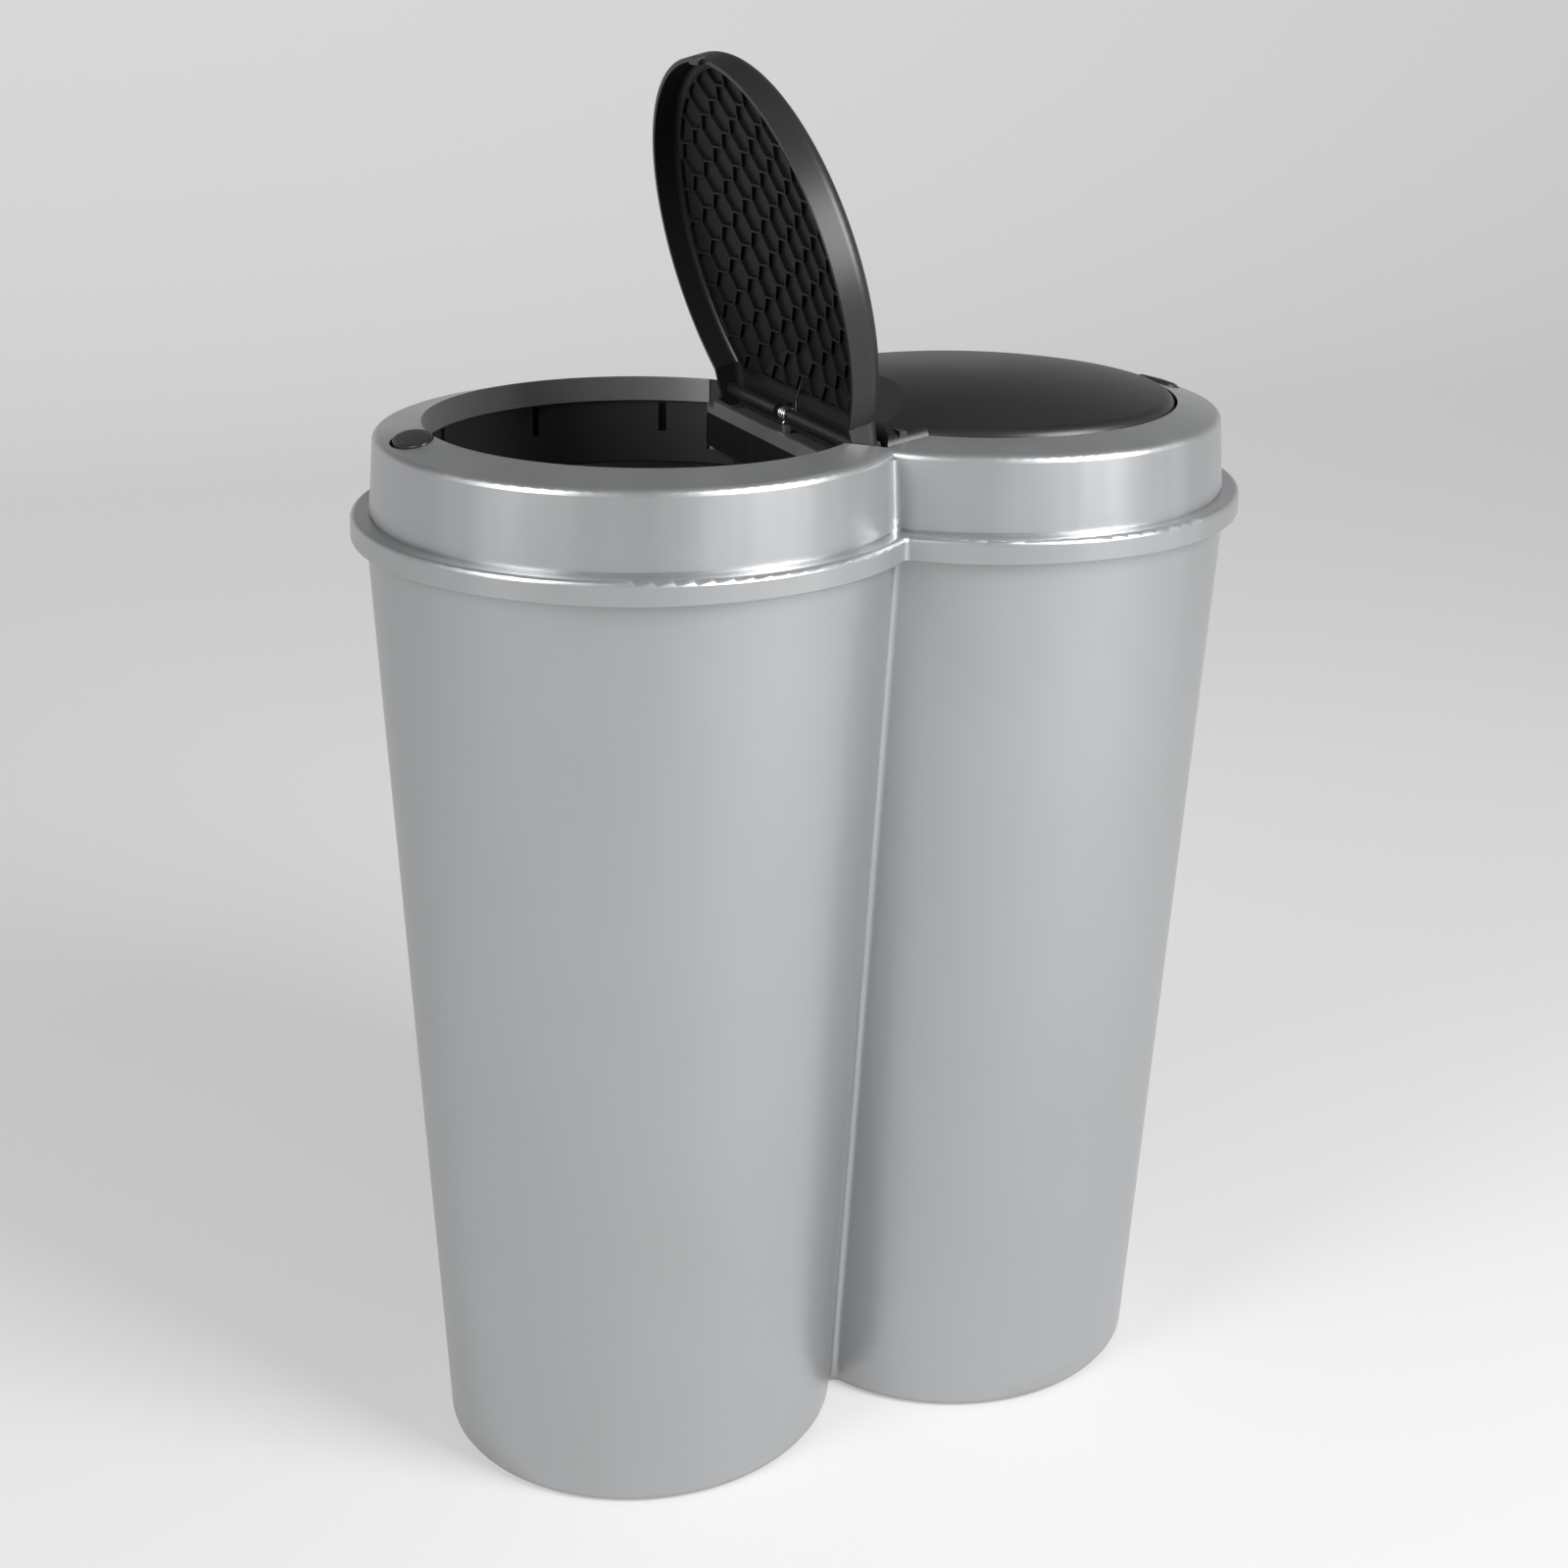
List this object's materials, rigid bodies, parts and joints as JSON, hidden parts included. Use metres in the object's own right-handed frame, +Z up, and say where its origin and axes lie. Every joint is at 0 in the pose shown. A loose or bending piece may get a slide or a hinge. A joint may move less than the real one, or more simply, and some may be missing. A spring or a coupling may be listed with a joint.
{
  "type": "double recycling bin",
  "caption": "Free-standing waste sorting bin: round tapered compartments joined side by side, with a lift-off lid frame and sprung flap lids opened by press buttons.",
  "frame": {"origin": "middle of the base, on the floor, midway between the compartments", "axes": "+X along the pair of compartments to the right-hand one, +Y to the back, +Z up"},
  "size_m": [0.5658, 0.34, 0.8639],
  "materials": {
    "grey_moulding": "fine satin grain, silver grey",
    "charcoal_moulding": "satin charcoal",
    "black_moulding": "satin black",
    "button": "dark, finely ribbed",
    "steel": "drawn wire and rod"
  },
  "bodies": {
    "bin": {"tub": "grey_moulding"},
    "lid_frame": {"lid_frame": "grey_moulding", "bag_ring_left": "black_moulding", "bag_ring_right": "black_moulding", "hinge_rod_left": "steel", "hinge_rod_right": "steel", "button_pin_left": "steel", "button_pin_right": "steel", "button_spring_left": "steel", "button_spring_right": "steel"},
    "left_lid": {"lid_shell_left": "charcoal_moulding", "lid_lining_left": "black_moulding", "lid_spring_left": "steel"},
    "right_lid": {"lid_shell_right": "charcoal_moulding", "lid_lining_right": "black_moulding", "lid_spring_right": "steel"},
    "left_button": {"button_left": "button", "latch_lever_left": "black_moulding"},
    "right_button": {"button_right": "button", "latch_lever_right": "black_moulding"}
  },
  "joints": [
    {"name": "frame_lift", "type": "slide", "parent": "bin", "child": "lid_frame", "axis": [0, 0, 1], "range_m": [0, 0.08]},
    {"name": "left_lid_hinge", "type": "hinge", "parent": "lid_frame", "child": "left_lid", "pos_m": [-0.012, 0, 0.6427], "axis": [0, -1, 0], "range_deg": [0, 75.2], "stiffness_Nm_per_rad": 0.3, "springref_deg": -74.48},
    {"name": "right_lid_hinge", "type": "hinge", "parent": "lid_frame", "child": "right_lid", "pos_m": [0.012, 0, 0.6427], "axis": [0, -1, 0], "range_deg": [0, 75.2]},
    {"name": "left_button_press", "type": "hinge", "parent": "lid_frame", "child": "left_button", "pos_m": [-0.2513, 0, 0.632], "axis": [0, -1, 0], "range_deg": [0, 6], "stiffness_Nm_per_rad": 0.5, "springref_deg": -11.46, "deforming": ["button_spring_left"]},
    {"name": "right_button_press", "type": "hinge", "parent": "lid_frame", "child": "right_button", "pos_m": [0.2513, 0, 0.632], "axis": [0, 1, 0], "range_deg": [0, 6], "stiffness_Nm_per_rad": 0.5, "springref_deg": -11.46, "deforming": ["button_spring_right"]}
  ]
}
